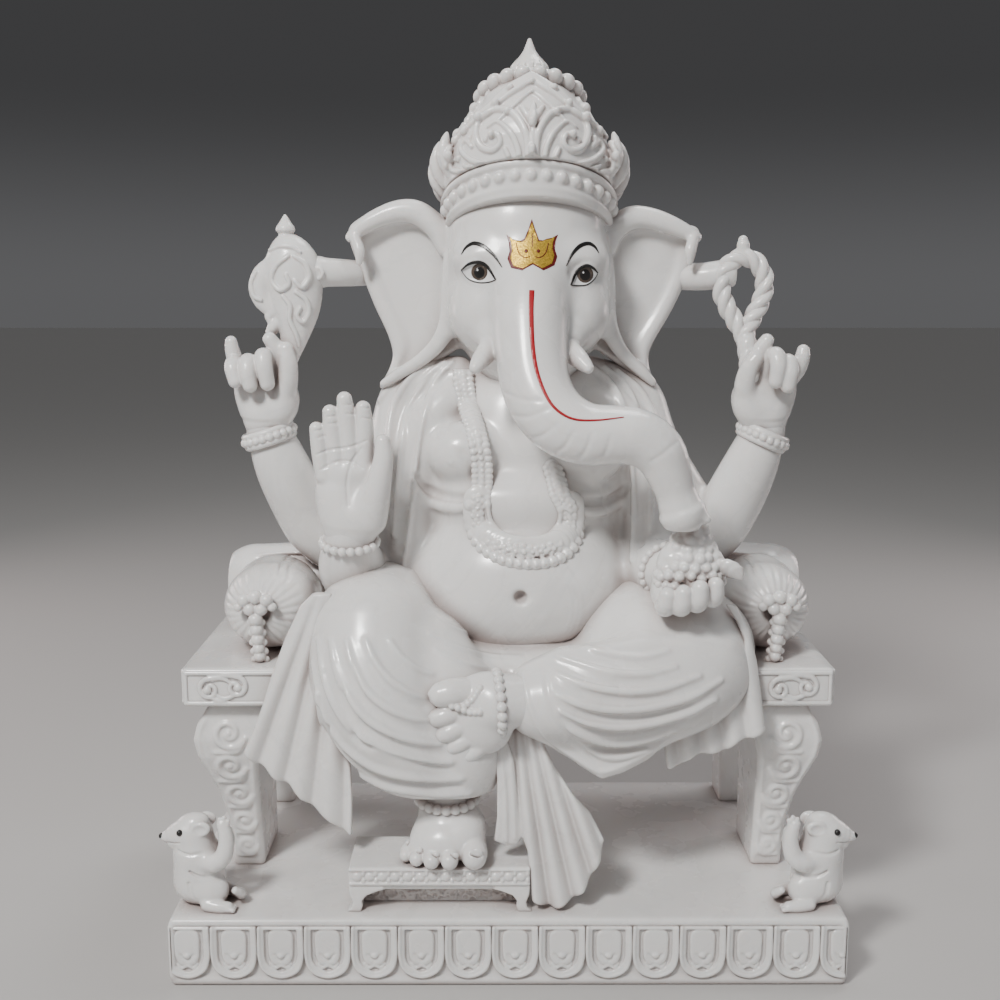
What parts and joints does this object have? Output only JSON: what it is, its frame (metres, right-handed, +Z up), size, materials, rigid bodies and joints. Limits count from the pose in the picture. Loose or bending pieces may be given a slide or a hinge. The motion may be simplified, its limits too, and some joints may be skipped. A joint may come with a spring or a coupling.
{
  "type": "seated ganesha idol",
  "caption": "Carved white marble Ganesha idol with four arms, seated on a low throne over a lotus plinth, with a footstool, cushions and two mice.",
  "frame": {"origin": "centre of the plinth's underside", "axes": "+Z up, -Y is the idol's front, +X is the idol's own left side"},
  "size_m": [0.428, 0.2247, 0.584],
  "materials": {
    "marble": "polished"
  },
  "bodies": {
    "root": {"plinth": "marble", "throne_seat": "marble", "throne_leg_front_right": "marble", "throne_leg_front_left": "marble", "throne_leg_rear_right": "marble", "throne_leg_rear_left": "marble", "footstool": "marble", "torso": "marble", "hanging_leg": "marble", "folded_thigh": "marble", "folded_shin": "marble", "crossed_foot": "marble", "planted_foot": "marble", "head": "marble", "trunk": "marble", "tusk_right": "marble", "tusk_left": "marble", "crown_band": "marble", "crown_dome": "marble", "crown_crest": "marble", "crown_finial": "marble", "crown_leaves": "marble", "ear_right": "marble", "ear_left": "marble", "blessing_hand": "marble", "sweets_hand": "marble", "axe_hand": "marble", "noose_hand": "marble", "blessing_bracelet": "marble", "sweets_bracelet": "marble", "axe_bracelet": "marble", "noose_bracelet": "marble", "axe_forearm": "marble", "noose_forearm": "marble", "blessing_forearm": "marble", "sweets_forearm": "marble", "axe_upper_arm": "marble", "noose_upper_arm": "marble", "blessing_upper_arm": "marble", "sweets_upper_arm": "marble", "necklace": "marble", "shawl": "marble", "planted_anklet": "marble", "crossed_anklet": "marble", "sweets": "marble", "axe": "marble", "axe_strut": "marble", "noose": "marble", "noose_strut": "marble", "cushion_tassel_right": "marble", "cushion_tassel_left": "marble", "side_cushion_right": "marble", "side_cushion_left": "marble", "back_bolster": "marble", "side_drape_right": "marble", "side_drape_left": "marble", "front_drape": "marble", "mouse_right": "marble", "mouse_left": "marble"}
  },
  "joints": []
}
